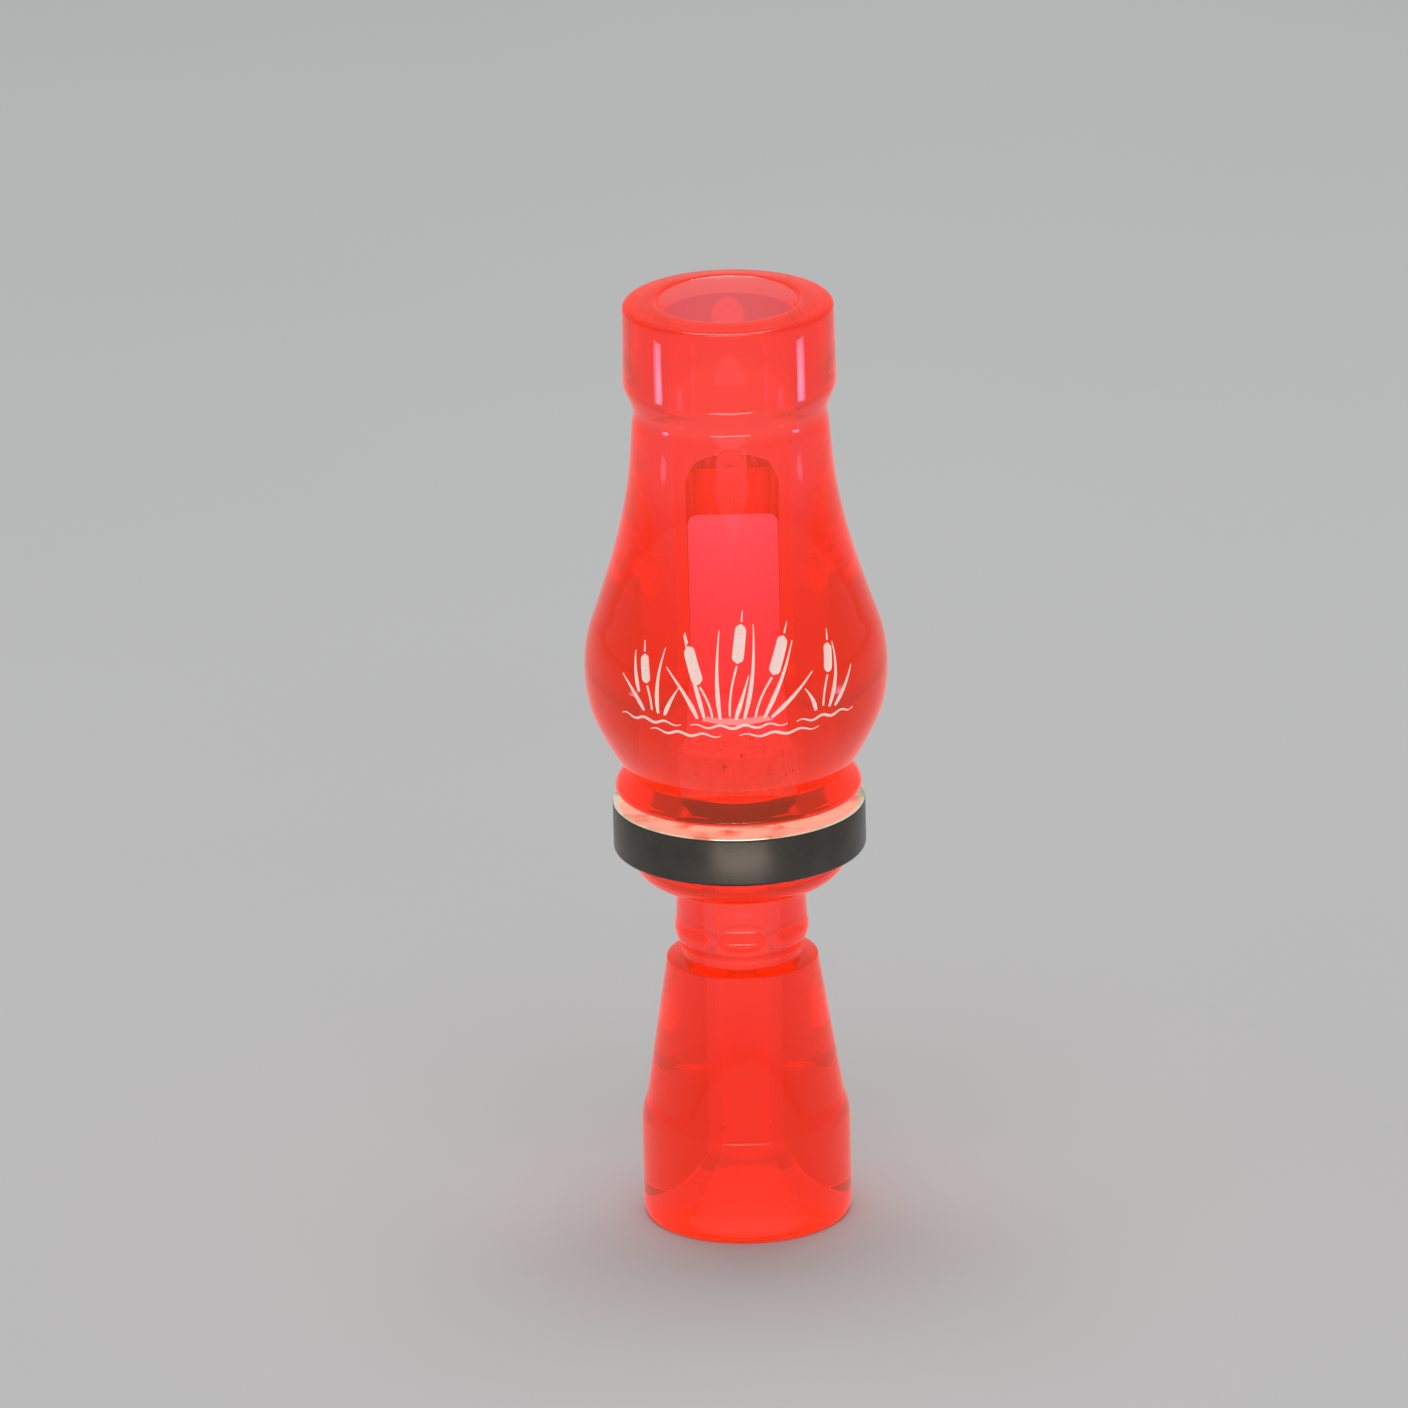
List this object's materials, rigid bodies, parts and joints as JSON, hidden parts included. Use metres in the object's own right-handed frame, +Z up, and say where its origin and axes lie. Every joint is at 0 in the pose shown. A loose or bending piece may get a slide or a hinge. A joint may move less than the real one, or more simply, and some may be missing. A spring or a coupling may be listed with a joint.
{
  "type": "duck call",
  "caption": "Hand-held duck call: a clear acrylic barrel with a metal band, pushed onto an insert that carries the tone board, reed and cork wedge.",
  "frame": {"origin": "centre of the insert's foot, on the surface that the call stands on", "axes": "+Z up the call's axis, from the insert's open end to the mouth; the tone board's flat face looks towards -Y; +X to the right of that face"},
  "size_m": [0.0382, 0.0382, 0.1213],
  "materials": {
    "insert_acrylic": "polished clear fluorescent red-orange acrylic",
    "barrel_acrylic": "polished clear fluorescent red-orange acrylic",
    "band_metal": "polished black nickel plate over brass",
    "reed_film": "frosted polyester reed film",
    "wedge_cork": "cut natural cork",
    "seal_rubber": "black nitrile rubber"
  },
  "bodies": {
    "insert": {"insert": "insert_acrylic", "cork_wedge": "wedge_cork"},
    "seals": {"o_ring_lower": "seal_rubber", "o_ring_upper": "seal_rubber"},
    "barrel": {"barrel": "barrel_acrylic", "barrel_band": "band_metal"},
    "reed": {"reed": "reed_film"}
  },
  "joints": [
    {"name": "barrel_twist", "type": "hinge", "parent": "insert", "child": "seals", "pos_m": [0, 0, 0.0491], "axis": [0, 0, 1], "continuous": true},
    {"name": "barrel_pull", "type": "slide", "parent": "seals", "child": "barrel", "axis": [0, 0, 1], "range_m": [0, 0.056]},
    {"name": "reed_flex", "type": "hinge", "parent": "insert", "child": "reed", "pos_m": [0, 0.00052, 0.0668], "axis": [1, 0, 0], "range_deg": [-1.3, 1], "stiffness_Nm_per_rad": 0.005}
  ]
}
